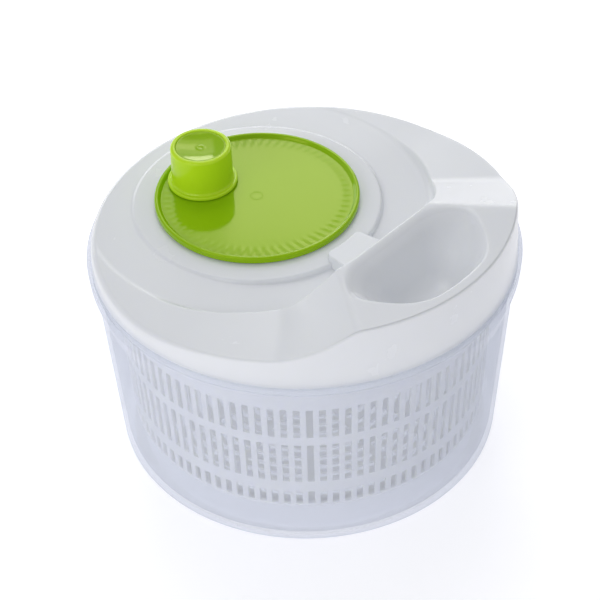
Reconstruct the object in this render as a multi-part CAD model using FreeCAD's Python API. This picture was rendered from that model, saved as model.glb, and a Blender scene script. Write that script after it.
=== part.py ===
import FreeCAD, Part
import math
import os

# Salad spinner with a geared crank: a bowl, a slotted basket on a pivot, and a lid whose green crank disc
# drives the basket through an internal ring gear and a pinion.
# Millimetres. Origin at the centre of the bowl's underside, +Z up, finger grip at +X, crank at -X.

os.makedirs("parts", exist_ok=True)

# ---- driving dimensions ----
BOWL_RIM_R = 120.0
BOWL_RIM_Z = 125.7
BOWL_RIM_EDGE = 0.8
BOWL_LIP_R = 117.7
BOWL_SHELF_R = 115.2
BOWL_SHELF_Z = 120.0
BOWL_FLARE = ((117.3, 111.0), (119.3, 117.0), (120.0, 122.5))
BOWL_WALL = 2.2
BOWL_WALL_TOP_R = 116.0
BOWL_WALL_TOP_Z = 105.0
BOWL_FOOT_R = 109.5
BOWL_FOOT_FILLET = 8.0
FOOT_RING_IN_R = 98.0
FOOT_RING_H = 1.5
BOWL_FLOOR_Z = 4.0
SPIGOT_R = 5.0
SPIGOT_TOP_Z = 17.0

CAP_BOTTOM_Z = 6.0
CAP_TOP_Z = 19.8
CAP_FLATS = 16.0
RUNNING_GAP = 0.05
CAP_PLAY = 0.3

BASKET_BOTTOM_Z = 20.0
BASKET_BOTTOM_R = 102.0
BASKET_TOP_R = 106.5
BASKET_WALL = 1.8
BASKET_CORNER = 4.0
BASKET_RIM_T = 2.2
BASKET_RIM_DROP = 5.0
BASKET_RIM_R = 109.2
BASKET_RIM_Z = 121.0
BASKET_FLOOR_R = 97.0
SLOT_COUNT = 96
SLOT_WIDTH = 3.6
SLOT_ROWS = ((24.0, 34.0), (42.0, 71.0), (77.0, 98.0))
FLOOR_SLOT_PITCH = 6.5
FLOOR_SLOT_WIDTH = 3.2
FLOOR_SLOT_RINGS = 12
FLOOR_SPOKES = 12
FLOOR_SPOKE_WIDTH = 4.0
FLOOR_FIRST_SLOT_R = 19.0
HUB_R = 12.5
HUB_BOTTOM_Z = 9.0

LUG_COUNT = 4
LUG_START = 45.0
LUG_WIDTH = 8.0
LUG_R = 101.5
KEY_RIB_T = 2.0
KEY_RIB_GAP = 0.6
KEY_RIB_IN_R = 99.5
KEY_RIB_Z = (100.0, 118.0)

LID_WALL = 2.0
LID_SKIRT_R = 117.3
LID_SKIRT_Z = 126.0
LID_SKIRT_TAPER = 0.042
LID_BOTTOM_Z = 120.2
LAND_Z = 135.3
LAND_FLAT_X = -10.0
LAND_RISE = 7.0 / 78.0
RIDGE_X = 57.0
RIDGE_Z = 160.0
HUMP_FALL = 3.0 / 59.0
HUMP_SHOULDER = (57.0, 38.0, 159.5)
HUMP_SLOPE_FOOT = (31.0, 76.0, 138.5)
HUMP_SLOPE_SIDE = (76.75, 83.5, 149.25)

DISC_X = -36.0
BASIN_R = 98.0
BASIN_DRAFT = 0.1
BASIN_FLOOR_X = -30.0
BASIN_FLOOR_FALL = 0.0494
RIDGE_DRAFT = 0.07
COLLAR_R = 69.5
COLLAR_Z = 136.5
WELL_R = 55.8
WELL_FLOOR_Z = 127.0
TAB_HALF_WIDTH = 13.3
TAB_END_R = 64.5
TAB_Z = 140.0
RIB_R = (111.3, 113.1)
RIB_BOTTOM_Z = 119.0
RIB_TOP_Z = 133.8
RIB_WEBS = 24
RIB_T = 1.6
FLOOR_RIBS = 8
FLOOR_RIB_H = 4.0

RECESS_FLOOR_Z = 130.0
RECESS_TOP_Z = 162.0
RECESS_FLOOR = (79.0, 98.0, 26.0, 8.0, 10.0)
RECESS_MOUTH = (57.9, 109.8, 44.0, 15.0, 27.0)

MODULE = 1.5
RING_TEETH = 66
PINION_TEETH = 18
PRESSURE_ANGLE = math.radians(20.0)
BACKLASH = 0.12
PINION_TIP_R = 15.0
PINION_ROOT_R = 11.6
RING_TIP_R = 48.4
RING_ROOT_R = 51.5
RING_OUT_R = 54.6
RING_Z = (128.5, 136.5)
PINION_Z = (129.0, 135.5)
FLANK_STEPS = 5

SHAFT_R = 4.0
SHAFT_FLAT = 3.0
SHAFT_Z = (108.5, 135.0)
SHAFT_BUSH_R = 5.5
SHAFT_BOSS_R = 8.0
BOSS_BOTTOM_Z = 118.0
THRUST_WASHER_Z = (127.2, 128.8)

PLATE_R = 97.0
PLATE_Z = (108.5, 111.0)
PLATE_RIM_Z = 113.0
PLATE_RIM_T = 1.8
PLATE_SPOKES = 8
PLATE_VENT_ROWS = ((28.0, 50.0), (60.0, 84.0))
PLATE_VENT_WIDTH = 3.0
PLATE_HUB_R = 11.0
PLATE_HUB_Z = 116.6
PLATE_VENTS = 24

DISC_R = 57.3
DISC_BEAD = 3.0
DISC_SPIGOT_R = 55.0
DISC_EDGE_Z = 137.0
DISC_PLATE_Z = (136.5, 138.6)
DISC_BEAD_Z = 140.6
CRANK_HUB_R = 7.0
CRANK_BUSH_R = 9.0
CRANK_BOSS_R = 11.5
CRANK_BOSS_TOP_Z = 130.0
SCREW_R = 1.8
SCREW_HOLE_R = 1.75

KNOB_ARM = 34.2
KNOB_ANGLE = math.radians(198.4)
KNOB_X = DISC_X + KNOB_ARM * math.cos(KNOB_ANGLE)
KNOB_Y = KNOB_ARM * math.sin(KNOB_ANGLE)
KNOB_Z = (139.0, 163.0)
KNOB_FLANGE_R = 19.7
KNOB_FLANGE_T = 2.0
KNOB_BASE_R = 17.6
KNOB_TOP_R = 17.0
KNOB_EDGE = 2.0
KNOB_WALL = 2.0
KNOB_CAP_R = 14.0
KNOB_CAP_T = 2.0
KNOB_CAP_SINK = 0.5
KNOB_DISH = 1.0
POST_R = 5.0
POST_TOP_Z = 152.0
WEB_Z = (149.5, 151.6)
SLEEVE_R = 7.5

FAR = 400.0


def vec(x, y, z):
    return FreeCAD.Vector(x, y, z)


UP = vec(0, 0, 1)


def save(name, shape):
    """Write one node's solids to its STEP file."""
    shape.exportStep("parts/" + name + ".step")


def cylinder(radius, z0, z1, x=0.0, y=0.0):
    return Part.makeCylinder(radius, z1 - z0, vec(x, y, z0))


def tube(r_in, r_out, z0, z1, x=0.0, y=0.0):
    return cylinder(r_out, z0, z1, x, y).cut(cylinder(r_in, z0, z1, x, y))


def block(x0, x1, y0, y1, z0, z1):
    return Part.makeBox(x1 - x0, y1 - y0, z1 - z0, vec(x0, y0, z0))


def turned(shape, degrees, x=0.0, y=0.0):
    copy = shape.copy()
    copy.rotate(vec(x, y, 0), UP, degrees)
    return copy


def around(shape, count, start=0.0, x=0.0, y=0.0):
    """Copies of a shape spaced evenly about a vertical axis."""
    return [turned(shape, start + 360.0 * i / count, x, y) for i in range(count)]


def prism(points, z0, z1, x=0.0, y=0.0):
    """A vertical prism over a closed polygon of (x, y) points."""
    corners = [vec(px + x, py + y, z0) for px, py in points]
    wire = Part.makePolygon(corners + corners[:1])
    return Part.Face(wire).extrude(vec(0, 0, z1 - z0))


def line(a, b):
    return Part.LineSegment(vec(a[0], 0, a[1]), vec(b[0], 0, b[1])).toShape()


def arc(a, middle, b):
    points = [vec(p[0], 0, p[1]) for p in (a, middle, b)]
    return Part.Arc(*points).toShape()


def corner_arc(a, centre, b):
    """A quarter-like arc from a to b about a centre, in the (radius, height) plane."""
    radius = math.dist(a, centre)
    mid = ((a[0] + b[0]) / 2 - centre[0], (a[1] + b[1]) / 2 - centre[1])
    scale = radius / math.hypot(*mid)
    return arc(a, (centre[0] + mid[0] * scale, centre[1] + mid[1] * scale), b)


def curve(points, first_slope, last_slope):
    """A smooth curve through points; each slope is the (radius, height) direction at that end."""
    spline = Part.BSplineCurve()
    spline.interpolate(
        [vec(p[0], 0, p[1]) for p in points],
        InitialTangent=vec(first_slope[0], 0, first_slope[1]),
        FinalTangent=vec(last_slope[0], 0, last_slope[1]),
    )
    return spline.toShape()


def revolved(edges, x=0.0, y=0.0):
    """Revolve a closed (radius, height) outline about a vertical axis."""
    solid = Part.Face(Part.Wire(edges)).revolve(vec(0, 0, 0), UP, 360)
    solid.translate(vec(x, y, 0))
    return solid


def below_plane(a, b, c, off):
    """The half-space under the plane through three points, lowered by off along the plane's normal."""
    origin = vec(*a)
    normal = (vec(*b) - origin).cross(vec(*c) - origin).normalize()
    if normal.z < 0:
        normal = -normal
    slab = Part.makeBox(2 * FAR, 2 * FAR, FAR, vec(-FAR, -FAR, -FAR - off))
    slab.Placement = FreeCAD.Placement(origin, FreeCAD.Rotation(UP, normal))
    return slab


def beyond_x(x_at_top, z_top, draft):
    """Everything on the low-x side of a wall that leans by draft and passes x_at_top at height z_top."""
    lean = draft * FAR
    outline = [
        vec(-FAR, -FAR, z_top - FAR),
        vec(x_at_top - lean, -FAR, z_top - FAR),
        vec(x_at_top + lean, -FAR, z_top + FAR),
        vec(-FAR, -FAR, z_top + FAR),
    ]
    return Part.Face(Part.makePolygon(outline + outline[:1])).extrude(vec(0, 2 * FAR, 0))


# ---- gears ----
def involute(angle):
    return math.tan(angle) - angle


def gear_outline(teeth, tip_r, root_r, extra_thickness):
    """Polygon of an involute gear with one tooth centred on +X."""
    pitch_r = teeth * MODULE / 2
    base_r = pitch_r * math.cos(PRESSURE_ANGLE)
    thickness = math.pi * MODULE / 2 + extra_thickness
    half_at_base = thickness / (2 * pitch_r) + involute(PRESSURE_ANGLE)
    start_r = max(root_r, base_r)
    radii = [start_r + (tip_r - start_r) * i / (FLANK_STEPS - 1) for i in range(FLANK_STEPS)]
    flank = [(r, half_at_base - involute(math.acos(min(1.0, base_r / r)))) for r in radii]
    if root_r < base_r:
        flank.insert(0, (root_r, flank[0][1]))
    points = []
    for tooth in range(teeth):
        centre = 2 * math.pi * tooth / teeth
        for r, half in flank:
            points.append((r * math.cos(centre - half), r * math.sin(centre - half)))
        for r, half in reversed(flank):
            points.append((r * math.cos(centre + half), r * math.sin(centre + half)))
    return points


def make_ring_gear():
    """Internal ring gear: its tooth spaces are the teeth of a matching outer gear."""
    spaces = prism(gear_outline(RING_TEETH, RING_ROOT_R, RING_TIP_R, BACKLASH), *RING_Z, x=DISC_X)
    return cylinder(RING_OUT_R, *RING_Z, x=DISC_X).cut(spaces)


def shaft_section(z0, z1):
    """The shaft's round section with its driving flat."""
    return cylinder(SHAFT_R, z0, z1).common(block(-SHAFT_R, SHAFT_FLAT, -SHAFT_R, SHAFT_R, z0, z1))


def make_pinion():
    body = prism(gear_outline(PINION_TEETH, PINION_TIP_R, PINION_ROOT_R, -BACKLASH), *PINION_Z)
    return body.cut(shaft_section(*PINION_Z))


# ---- bowl ----
def make_bowl():
    """Thin bowl with a flared rim band, a shelf and lip for the lid, a foot ring and a pivot spigot."""
    foot_flat_r = BOWL_FOOT_R - BOWL_FOOT_FILLET
    inner_foot_r = BOWL_FOOT_R - BOWL_WALL
    inner_wall_r = BOWL_WALL_TOP_R - BOWL_WALL
    inner_corner_z = BOWL_FLOOR_Z + BOWL_FOOT_FILLET
    wall_top = (BOWL_WALL_TOP_R, BOWL_WALL_TOP_Z)
    wall_slope = (BOWL_WALL_TOP_R - BOWL_FOOT_R, BOWL_WALL_TOP_Z - BOWL_FOOT_FILLET)
    lip_top = (BOWL_RIM_R - BOWL_RIM_EDGE, BOWL_RIM_Z)
    lip_side = (BOWL_RIM_R, BOWL_RIM_Z - BOWL_RIM_EDGE)
    edges = [
        line((0, FOOT_RING_H), (FOOT_RING_IN_R - FOOT_RING_H, FOOT_RING_H)),
        line((FOOT_RING_IN_R - FOOT_RING_H, FOOT_RING_H), (FOOT_RING_IN_R, 0)),
        line((FOOT_RING_IN_R, 0), (foot_flat_r, 0)),
        corner_arc((foot_flat_r, 0), (foot_flat_r, BOWL_FOOT_FILLET), (BOWL_FOOT_R, BOWL_FOOT_FILLET)),
        line((BOWL_FOOT_R, BOWL_FOOT_FILLET), wall_top),
        curve((wall_top,) + BOWL_FLARE, wall_slope, (0, 1)),
        line(BOWL_FLARE[-1], lip_side),
        corner_arc(lip_side, (lip_top[0], lip_side[1]), lip_top),
        line(lip_top, (BOWL_LIP_R, BOWL_RIM_Z)),
        line((BOWL_LIP_R, BOWL_RIM_Z), (BOWL_LIP_R, BOWL_SHELF_Z)),
        line((BOWL_LIP_R, BOWL_SHELF_Z), (BOWL_SHELF_R, BOWL_SHELF_Z)),
        line((BOWL_SHELF_R, BOWL_SHELF_Z), (inner_wall_r, BOWL_WALL_TOP_Z)),
        line((inner_wall_r, BOWL_WALL_TOP_Z), (inner_foot_r, inner_corner_z)),
        corner_arc(
            (inner_foot_r, inner_corner_z),
            (inner_foot_r - BOWL_FOOT_FILLET, inner_corner_z),
            (inner_foot_r - BOWL_FOOT_FILLET, BOWL_FLOOR_Z),
        ),
        line((inner_foot_r - BOWL_FOOT_FILLET, BOWL_FLOOR_Z), (SPIGOT_R, BOWL_FLOOR_Z)),
        line((SPIGOT_R, BOWL_FLOOR_Z), (SPIGOT_R, SPIGOT_TOP_Z - 1)),
        line((SPIGOT_R, SPIGOT_TOP_Z - 1), (SPIGOT_R - 1, SPIGOT_TOP_Z)),
        line((SPIGOT_R - 1, SPIGOT_TOP_Z), (0, SPIGOT_TOP_Z)),
        line((0, SPIGOT_TOP_Z), (0, FOOT_RING_H)),
    ]
    return revolved(edges)


def hexagon(across_flats, z0, z1):
    corner_r = across_flats / math.sqrt(3.0)
    angles = [math.pi * i / 3 for i in range(6)]
    return prism([(corner_r * math.cos(a), corner_r * math.sin(a)) for a in angles], z0, z1)


def make_pivot_cap():
    """Bearing cap that turns on the bowl's spigot and keys the basket by its hexagon."""
    bore = cylinder(SPIGOT_R + RUNNING_GAP, CAP_BOTTOM_Z, SPIGOT_TOP_Z + CAP_PLAY)
    return hexagon(CAP_FLATS, CAP_BOTTOM_Z, CAP_TOP_Z).cut(bore)


# ---- basket ----
def basket_radius(z):
    """Outer radius of the basket's wall at a height."""
    rise = (z - BASKET_BOTTOM_Z) / (BASKET_RIM_Z - BASKET_BOTTOM_Z)
    return BASKET_BOTTOM_R + (BASKET_TOP_R - BASKET_BOTTOM_R) * rise


def make_basket():
    """Slotted basket wall with its rolled rim and the rib pairs that the drive lugs sit between."""
    inner_corner = BASKET_CORNER - BASKET_WALL
    floor_top = BASKET_BOTTOM_Z + BASKET_WALL
    corner_z = BASKET_BOTTOM_Z + BASKET_CORNER
    drop_z = BASKET_RIM_Z - BASKET_RIM_DROP
    rim_low_z = BASKET_RIM_Z - BASKET_RIM_T
    rim_in_r = BASKET_RIM_R - BASKET_RIM_T
    wall_foot = (basket_radius(corner_z), corner_z)
    foot_centre = (wall_foot[0] - BASKET_CORNER, corner_z)
    edges = [
        line((BASKET_FLOOR_R, BASKET_BOTTOM_Z), (foot_centre[0], BASKET_BOTTOM_Z)),
        corner_arc((foot_centre[0], BASKET_BOTTOM_Z), foot_centre, wall_foot),
        line(wall_foot, (basket_radius(rim_low_z), rim_low_z)),
        line((basket_radius(rim_low_z), rim_low_z), (rim_in_r, rim_low_z)),
        line((rim_in_r, rim_low_z), (rim_in_r, drop_z)),
        line((rim_in_r, drop_z), (BASKET_RIM_R, drop_z)),
        line((BASKET_RIM_R, drop_z), (BASKET_RIM_R, BASKET_RIM_Z - 1)),
        line((BASKET_RIM_R, BASKET_RIM_Z - 1), (BASKET_RIM_R - 1, BASKET_RIM_Z)),
        line((BASKET_RIM_R - 1, BASKET_RIM_Z), (BASKET_TOP_R - BASKET_WALL, BASKET_RIM_Z)),
        line((BASKET_TOP_R - BASKET_WALL, BASKET_RIM_Z), (wall_foot[0] - BASKET_WALL, corner_z)),
        corner_arc(
            (wall_foot[0] - BASKET_WALL, corner_z),
            foot_centre,
            (foot_centre[0], corner_z - inner_corner),
        ),
        line((foot_centre[0], floor_top), (BASKET_FLOOR_R, floor_top)),
        line((BASKET_FLOOR_R, floor_top), (BASKET_FLOOR_R, BASKET_BOTTOM_Z)),
    ]
    wall = revolved(edges)
    half = SLOT_WIDTH / 2
    slots = []
    for z0, z1 in SLOT_ROWS:
        slot = block(BASKET_FLOOR_R + 1.5, BASKET_RIM_R + 1, -half, half, z0, z1)
        slots += around(slot, SLOT_COUNT)
    wall = wall.cut(slots)
    rib_y = LUG_WIDTH / 2 + KEY_RIB_GAP
    rib_out = basket_radius(KEY_RIB_Z[0]) - BASKET_WALL / 2
    ribs = []
    for side in (rib_y, -rib_y - KEY_RIB_T):
        rib = block(KEY_RIB_IN_R, rib_out, side, side + KEY_RIB_T, *KEY_RIB_Z)
        ribs += around(rib, LUG_COUNT, LUG_START)
    return wall.fuse(ribs).removeSplitter()


def arc_slot(r0, r1, half_angle, z0, z1):
    """A slot that follows a circle, centred on +X."""
    def at(r, a):
        return vec(r * math.cos(a), r * math.sin(a), z0)
    edges = [
        Part.Arc(at(r0, -half_angle), at(r0, 0), at(r0, half_angle)).toShape(),
        Part.LineSegment(at(r0, half_angle), at(r1, half_angle)).toShape(),
        Part.Arc(at(r1, half_angle), at(r1, 0), at(r1, -half_angle)).toShape(),
        Part.LineSegment(at(r1, -half_angle), at(r0, -half_angle)).toShape(),
    ]
    return Part.Face(Part.Wire(edges)).extrude(vec(0, 0, z1 - z0))


def make_basket_floor():
    """Floor grille of concentric arc slots."""
    top = BASKET_BOTTOM_Z + BASKET_WALL
    floor = cylinder(BASKET_FLOOR_R, BASKET_BOTTOM_Z, top)
    slots = []
    for ring in range(FLOOR_SLOT_RINGS):
        r0 = FLOOR_FIRST_SLOT_R + ring * FLOOR_SLOT_PITCH
        r1 = r0 + FLOOR_SLOT_WIDTH
        half_angle = math.pi / FLOOR_SPOKES - FLOOR_SPOKE_WIDTH / (r0 + r1)
        slots += around(arc_slot(r0, r1, half_angle, BASKET_BOTTOM_Z, top), FLOOR_SPOKES)
    return floor.cut(slots)


def make_basket_hub():
    """Hexagonal hub under the basket's floor, which drops over the pivot cap."""
    socket = hexagon(CAP_FLATS + 2 * CAP_PLAY, HUB_BOTTOM_Z, BASKET_BOTTOM_Z)
    return cylinder(HUB_R, HUB_BOTTOM_Z, BASKET_BOTTOM_Z).cut(socket)


# ---- lid ----
def recess_wire(dims, z, off):
    """Rounded D outline of the finger recess: (x0, x1, half width, ridge-side radius, outer radius)."""
    x0, x1, half, r_ridge, r_outer = dims
    x0, x1, half = x0 - off, x1 + off, half + off
    r_ridge, r_outer = r_ridge + off, r_outer + off
    diagonal = math.sqrt(0.5)

    def rounded(cx, cy, r, sx, sy, swap):
        first = vec(cx + sx * r, cy, z)
        middle = vec(cx + sx * r * diagonal, cy + sy * r * diagonal, z)
        last = vec(cx, cy + sy * r, z)
        return Part.Arc(last, middle, first) if swap else Part.Arc(first, middle, last)

    corners = [
        rounded(x1 - r_outer, half - r_outer, r_outer, 1, 1, False),
        rounded(x0 + r_ridge, half - r_ridge, r_ridge, -1, 1, True),
        rounded(x0 + r_ridge, r_ridge - half, r_ridge, -1, -1, False),
        rounded(x1 - r_outer, r_outer - half, r_outer, 1, -1, True),
    ]
    edges = []
    for here, following in zip(corners, corners[1:] + corners[:1]):
        edges.append(here.toShape())
        edges.append(Part.LineSegment(here.EndPoint, following.StartPoint).toShape())
    return Part.Wire(edges)


def recess_cutter(off):
    mouth = recess_wire(RECESS_MOUTH, RECESS_TOP_Z, off)
    floor = recess_wire(RECESS_FLOOR, RECESS_FLOOR_Z - off, off)
    return Part.makeLoft([floor, mouth], True, True)


def skirt_radius(z):
    return LID_SKIRT_R - LID_SKIRT_TAPER * (z - LID_SKIRT_Z)


def lid_body(off):
    """The lid as a filled body; off shrinks it by the wall thickness to give the hollow inside."""
    bottom = LID_BOTTOM_Z - off * FAR / 10
    top = RIDGE_Z + 5
    r_bottom, r_top = skirt_radius(bottom) - off, skirt_radius(top) - off
    skirt = Part.makeCone(r_bottom, r_top, top - bottom, vec(0, 0, bottom))
    flat = block(-FAR, FAR, -FAR, FAR, bottom - 1, LAND_Z - off)
    far_x = LAND_FLAT_X + FAR
    tilted = below_plane(
        (LAND_FLAT_X, 0, LAND_Z), (LAND_FLAT_X, 1, LAND_Z), (far_x, 0, LAND_Z + LAND_RISE * FAR), off
    )
    land = flat.fuse(tilted.common(block(LAND_FLAT_X, FAR, -FAR, FAR, bottom - 1, top)))
    ridge = (RIDGE_X, 0, RIDGE_Z)
    hump = below_plane(ridge, (RIDGE_X, 1, RIDGE_Z), (RIDGE_X + 1, 0, RIDGE_Z - HUMP_FALL), off)
    for side in (1, -1):
        points = [(x, side * y, z) for x, y, z in (HUMP_SHOULDER, HUMP_SLOPE_FOOT, HUMP_SLOPE_SIDE)]
        hump = hump.common(below_plane(*points, off))
    body = skirt.common(land.fuse(hump))
    body = body.cut(basin_cutter(off))
    body = body.fuse(cylinder(COLLAR_R - off, WELL_FLOOR_Z - 5, COLLAR_Z - off, x=DISC_X))
    half = TAB_HALF_WIDTH - off
    tab = block(DISC_X + TAB_END_R - 3, RIDGE_X + 2, -half, half, WELL_FLOOR_Z - 5, TAB_Z - off)
    body = body.fuse(tab.cut(cylinder(TAB_END_R + off, COLLAR_Z - off, top, x=DISC_X)))
    body = body.cut(cylinder(WELL_R + off, WELL_FLOOR_Z - off, top, x=DISC_X))
    return body.cut(recess_cutter(off))


def basin_cutter(off):
    """The sunk area round the crank: a drafted circle about the disc's axis, cut straight by the ridge."""
    low, high = 120.0, 170.0
    r_low = BASIN_R + off + BASIN_DRAFT * (low - COLLAR_Z)
    r_high = BASIN_R + off + BASIN_DRAFT * (high - COLLAR_Z)
    bowl = Part.makeCone(r_low, r_high, high - low, vec(DISC_X, 0, low))
    fall = BASIN_FLOOR_FALL
    floor = below_plane(
        (BASIN_FLOOR_X, 0, LAND_Z), (BASIN_FLOOR_X, 1, LAND_Z), (BASIN_FLOOR_X + 1, 0, LAND_Z - fall), off
    )
    return bowl.common(beyond_x(RIDGE_X + off, RIDGE_Z, RIDGE_DRAFT)).cut(floor)


def make_lid_shell():
    """Lid moulding: shell, locating rib with its webs, bosses for both shafts and stiffening ribs."""
    lid = lid_body(0.0).cut(lid_body(LID_WALL))
    rib = tube(*RIB_R, RIB_BOTTOM_Z, RIB_TOP_Z)
    web_out = skirt_radius(LID_SKIRT_Z) - LID_WALL / 2
    web = block(RIB_R[1] - 0.5, web_out, -RIB_T / 2, RIB_T / 2, LID_SKIRT_Z - 3, RIB_TOP_Z)
    bosses = [
        cylinder(SHAFT_BOSS_R, BOSS_BOTTOM_Z, WELL_FLOOR_Z),
        cylinder(CRANK_BOSS_R, BOSS_BOTTOM_Z, CRANK_BOSS_TOP_Z, x=DISC_X),
    ]
    rib_top = WELL_FLOOR_Z - LID_WALL / 2
    stiffener = block(CRANK_BOSS_R - 1, WELL_R, -RIB_T / 2, RIB_T / 2, rib_top - FLOOR_RIB_H, rib_top)
    stiffener.translate(vec(DISC_X, 0, 0))
    stiffeners = around(stiffener, FLOOR_RIBS, 180.0 / FLOOR_RIBS, x=DISC_X)
    lid = lid.fuse([rib] + around(web, RIB_WEBS, 180.0 / RIB_WEBS) + bosses + stiffeners)
    bores = [
        cylinder(SHAFT_BUSH_R, BOSS_BOTTOM_Z, CRANK_BOSS_TOP_Z),
        cylinder(CRANK_BUSH_R, BOSS_BOTTOM_Z, CRANK_BOSS_TOP_Z, x=DISC_X),
    ]
    return lid.cut(bores).removeSplitter()


def make_shaft_bush():
    return tube(SHAFT_R + RUNNING_GAP, SHAFT_BUSH_R, BOSS_BOTTOM_Z, WELL_FLOOR_Z)


def make_crank_bush():
    return tube(CRANK_HUB_R + RUNNING_GAP, CRANK_BUSH_R, BOSS_BOTTOM_Z, CRANK_BOSS_TOP_Z, x=DISC_X)


# ---- drive shaft and plate ----
def make_drive_shaft():
    """Steel shaft, round in the bush, with a flat at each end."""
    lower = shaft_section(SHAFT_Z[0], PLATE_HUB_Z)
    middle = cylinder(SHAFT_R, PLATE_HUB_Z, PINION_Z[0])
    upper = shaft_section(PINION_Z[0], SHAFT_Z[1])
    return lower.fuse([middle, upper]).removeSplitter().cut(cylinder(SCREW_R, SHAFT_Z[0], SHAFT_Z[0] + 12))


def make_thrust_washer():
    return tube(SHAFT_R + RUNNING_GAP, SHAFT_BOSS_R, *THRUST_WASHER_Z)


def make_drive_plate():
    """Driven cover inside the basket's mouth, with vent slots and four lugs that turn the basket."""
    plate = cylinder(PLATE_R, *PLATE_Z)
    rim = tube(PLATE_R - PLATE_RIM_T, PLATE_R, PLATE_Z[0], PLATE_RIM_Z)
    hub = cylinder(PLATE_HUB_R, PLATE_Z[0], PLATE_HUB_Z)
    half = LUG_WIDTH / 2
    lug = block(PLATE_R - PLATE_RIM_T, LUG_R, -half, half, PLATE_Z[0], PLATE_RIM_Z)
    spoke = block(PLATE_HUB_R - 1, PLATE_R - 1, -RIB_T / 2, RIB_T / 2, PLATE_Z[0], PLATE_RIM_Z)
    lugs = around(lug, LUG_COUNT, LUG_START)
    spokes = around(spoke, PLATE_SPOKES, LUG_START / 2)
    solid = plate.fuse([rim, hub] + lugs + spokes)
    vents = []
    for r0, r1 in PLATE_VENT_ROWS:
        vent = block(r0, r1, -PLATE_VENT_WIDTH / 2, PLATE_VENT_WIDTH / 2, *PLATE_Z)
        vents += around(vent, PLATE_VENTS)
    return solid.cut(vents + [shaft_section(PLATE_Z[0], PLATE_HUB_Z)]).removeSplitter()


def screw(head_r, head_z, shank_top, x=0.0, y=0.0, up=True):
    """Pan-head self-tapping screw with a cross slot; up is the way its shank points."""
    z0, z1 = head_z
    head = cylinder(head_r, z0, z1, x, y)
    shank = cylinder(SCREW_R, z1, shank_top, x, y) if up else cylinder(SCREW_R, shank_top, z0, x, y)
    arm, depth = head_r * 0.55, (z1 - z0) * 0.5
    low = z0 if up else z1 - depth
    slots = [
        block(x - arm, x + arm, y - 0.5, y + 0.5, low, low + depth),
        block(x - 0.5, x + 0.5, y - arm, y + arm, low, low + depth),
    ]
    return head.fuse(shank).cut(slots).removeSplitter()


def make_drive_washer():
    return tube(SCREW_R, SHAFT_BOSS_R, PLATE_Z[0] - 1, PLATE_Z[0])


def make_drive_screw():
    return screw(4.5, (PLATE_Z[0] - 4, PLATE_Z[0] - 1), SHAFT_Z[0] + 12)


# ---- crank ----
def make_crank_disc():
    """Green crank disc: raised bead, edge over the collar, hub that turns in the lid, knob's post."""
    low, top = DISC_PLATE_Z
    bead_in = DISC_R - DISC_BEAD
    round_r = 1.0
    outline = [
        line((0, low), (DISC_SPIGOT_R, low)),
        line((DISC_SPIGOT_R, low), (DISC_SPIGOT_R, DISC_EDGE_Z)),
        line((DISC_SPIGOT_R, DISC_EDGE_Z), (DISC_R, DISC_EDGE_Z)),
        line((DISC_R, DISC_EDGE_Z), (DISC_R, DISC_BEAD_Z - round_r)),
        corner_arc(
            (DISC_R, DISC_BEAD_Z - round_r),
            (DISC_R - round_r, DISC_BEAD_Z - round_r),
            (DISC_R - round_r, DISC_BEAD_Z),
        ),
        line((DISC_R - round_r, DISC_BEAD_Z), (bead_in + 0.8, DISC_BEAD_Z)),
        line((bead_in + 0.8, DISC_BEAD_Z), (bead_in, top)),
        line((bead_in, top), (0, top)),
        line((0, top), (0, low)),
    ]
    disc = revolved(outline, x=DISC_X)
    hub = cylinder(CRANK_HUB_R, BOSS_BOTTOM_Z, low, x=DISC_X)
    post = cylinder(POST_R, top, POST_TOP_Z, KNOB_X, KNOB_Y)
    holes = [
        cylinder(SCREW_HOLE_R, BOSS_BOTTOM_Z, BOSS_BOTTOM_Z + 14, x=DISC_X),
        cylinder(SCREW_HOLE_R, POST_TOP_Z - 11, POST_TOP_Z, KNOB_X, KNOB_Y),
    ]
    return disc.fuse([hub, post]).cut(holes).removeSplitter()


def make_crank_washer():
    return tube(SCREW_R, CRANK_BOSS_R - 0.5, BOSS_BOTTOM_Z - 1.2, BOSS_BOTTOM_Z - 0.1, x=DISC_X)


def make_crank_screw():
    head = (BOSS_BOTTOM_Z - 4.2, BOSS_BOTTOM_Z - 1.2)
    return screw(4.5, head, BOSS_BOTTOM_Z + 13, x=DISC_X)


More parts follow.
